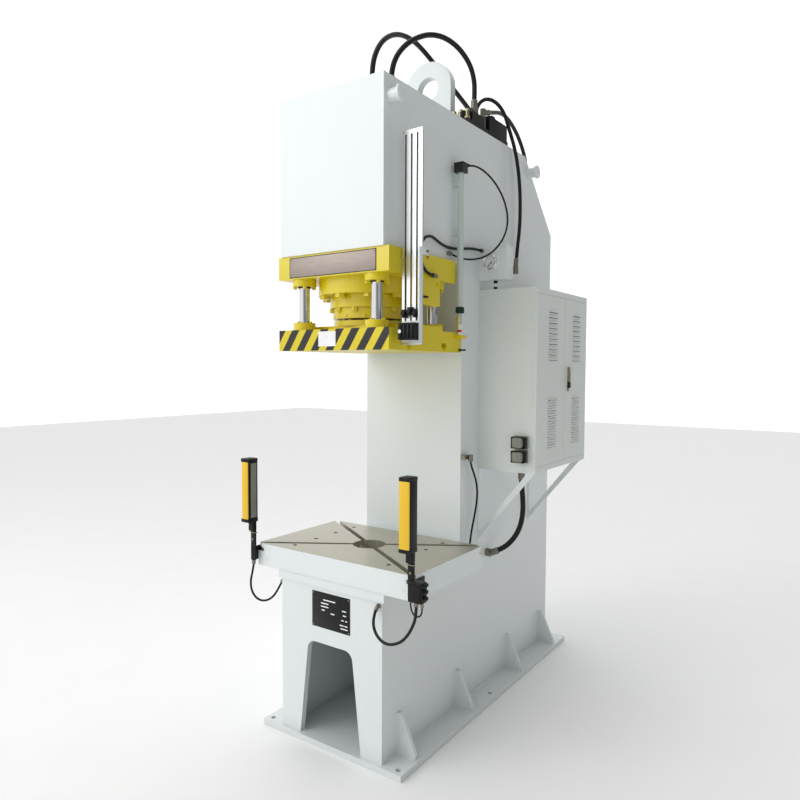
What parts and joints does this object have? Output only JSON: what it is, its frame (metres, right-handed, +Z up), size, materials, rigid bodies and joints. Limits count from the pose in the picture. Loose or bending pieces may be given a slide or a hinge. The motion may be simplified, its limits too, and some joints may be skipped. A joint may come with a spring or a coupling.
{
  "type": "hydraulic press",
  "caption": "Floor-standing C-frame hydraulic press with guided ram, T-slotted table, light curtains, electrical cabinet and top hoses.",
  "frame": {"origin": "on the floor under the middle of the base plate", "axes": "+Z up, the operator stands at -Y, the electrical cabinet is on the +X side"},
  "size_m": [0.98, 1.6488, 2.9915],
  "materials": {
    "white": "gloss white enamel",
    "cabinet": "textured light grey enamel",
    "machined": "ground steel",
    "yellow": "gloss yellow enamel",
    "bronze_cap": "gloss yellow enamel",
    "chrome": "polished",
    "zinc": "zinc plated",
    "rail": "anodised",
    "black": "moulded",
    "curtain": "yellow and black enamel",
    "motor": "painted casting",
    "steel": "blackened steel",
    "gear": "moulded",
    "hose": "smooth rubber"
  },
  "bodies": {
    "frame": {"bar_loop_cable": "hose", "base_plate": "white", "cabinet_bracket": "white", "cabinet_gear": "gear", "cabinet_shell": "cabinet", "column_cable": "hose", "conduit_main": "hose", "curtain_bar_left": "curtain", "curtain_bar_right": "curtain", "cylinder_barrel": "yellow", "end_fittings": "black", "flange_bolts": "yellow", "folded_rear_plate": "white", "front_plates": "white", "gauge_box": "cabinet", "gland_ring": "yellow", "guide_bushes": "bronze_cap", "guide_plate": "yellow", "gusset_ribs": "white", "head_floor_plate": "white", "hose_block": "hose", "hose_down_side": "hose", "hose_rear": "hose", "hose_side": "hose", "hose_up_side": "hose", "left_bar_cable": "hose", "lifting_lug": "white", "lifting_spools": "white", "lubrication_block": "yellow", "motor_housing": "motor", "oil_tank": "white", "plug_hoods": "black", "probe_body": "rail", "probe_cable": "hose", "pump_body": "motor", "rear_cover": "white", "relay_box": "black", "right_bar_cable": "hose", "side_plate_left": "white", "side_plate_right": "white", "switch_block": "black", "switch_holder": "white", "table_plate": "machined", "table_support_plate": "white", "valve_manifold": "steel"},
    "ram": {"ram_platen": "yellow", "ram_boss": "yellow", "piston_rod": "chrome", "guide_posts": "chrome", "post_collars": "yellow", "limit_rail": "rail", "probe_rod": "chrome"},
    "door_front": {"cabinet_door_front": "cabinet"},
    "door_rear": {"cabinet_door_rear": "cabinet"},
    "door_handle": {"door_handle": "black"},
    "needle": {"gauge_needle": "zinc"},
    "rotor": {"motor_rotor": "motor"},
    "dog_1": {"trip_dog_1": "black"},
    "dog_2": {"trip_dog_2": "black"},
    "dog_3": {"trip_dog_3": "black"}
  },
  "joints": [
    {"name": "ram_slide", "type": "slide", "parent": "frame", "child": "ram", "axis": [0, 0, -1], "range_m": [0, 0.35]},
    {"name": "dog_1_slide", "type": "slide", "parent": "ram", "child": "dog_1", "axis": [0, 0, 1], "range_m": [0, 0.62]},
    {"name": "dog_2_slide", "type": "slide", "parent": "ram", "child": "dog_2", "axis": [0, 0, 1], "range_m": [0, 0.61]},
    {"name": "dog_3_slide", "type": "slide", "parent": "ram", "child": "dog_3", "axis": [0, 0, 1], "range_m": [0, 0.62]},
    {"name": "door_front_hinge", "type": "hinge", "parent": "frame", "child": "door_front", "pos_m": [0.52125, -0.053, 1.464], "axis": [0, 0, -1], "range_deg": [0, 110]},
    {"name": "door_rear_hinge", "type": "hinge", "parent": "frame", "child": "door_rear", "pos_m": [0.52125, 0.547, 1.464], "axis": [0, 0, 1], "range_deg": [0, 110]},
    {"name": "handle_turn", "type": "hinge", "parent": "door_rear", "child": "door_handle", "pos_m": [0.549, 0.3, 1.512], "axis": [1, 0, 0], "range_deg": [0, 90]},
    {"name": "needle_turn", "type": "hinge", "parent": "frame", "child": "needle", "pos_m": [0.336, -0.095, 1.978], "axis": [0, 1, 0], "range_deg": [0, 270]},
    {"name": "motor_turn", "type": "hinge", "parent": "frame", "child": "rotor", "pos_m": [0, 0.05, 2.13], "axis": [0, 1, 0], "continuous": true}
  ]
}
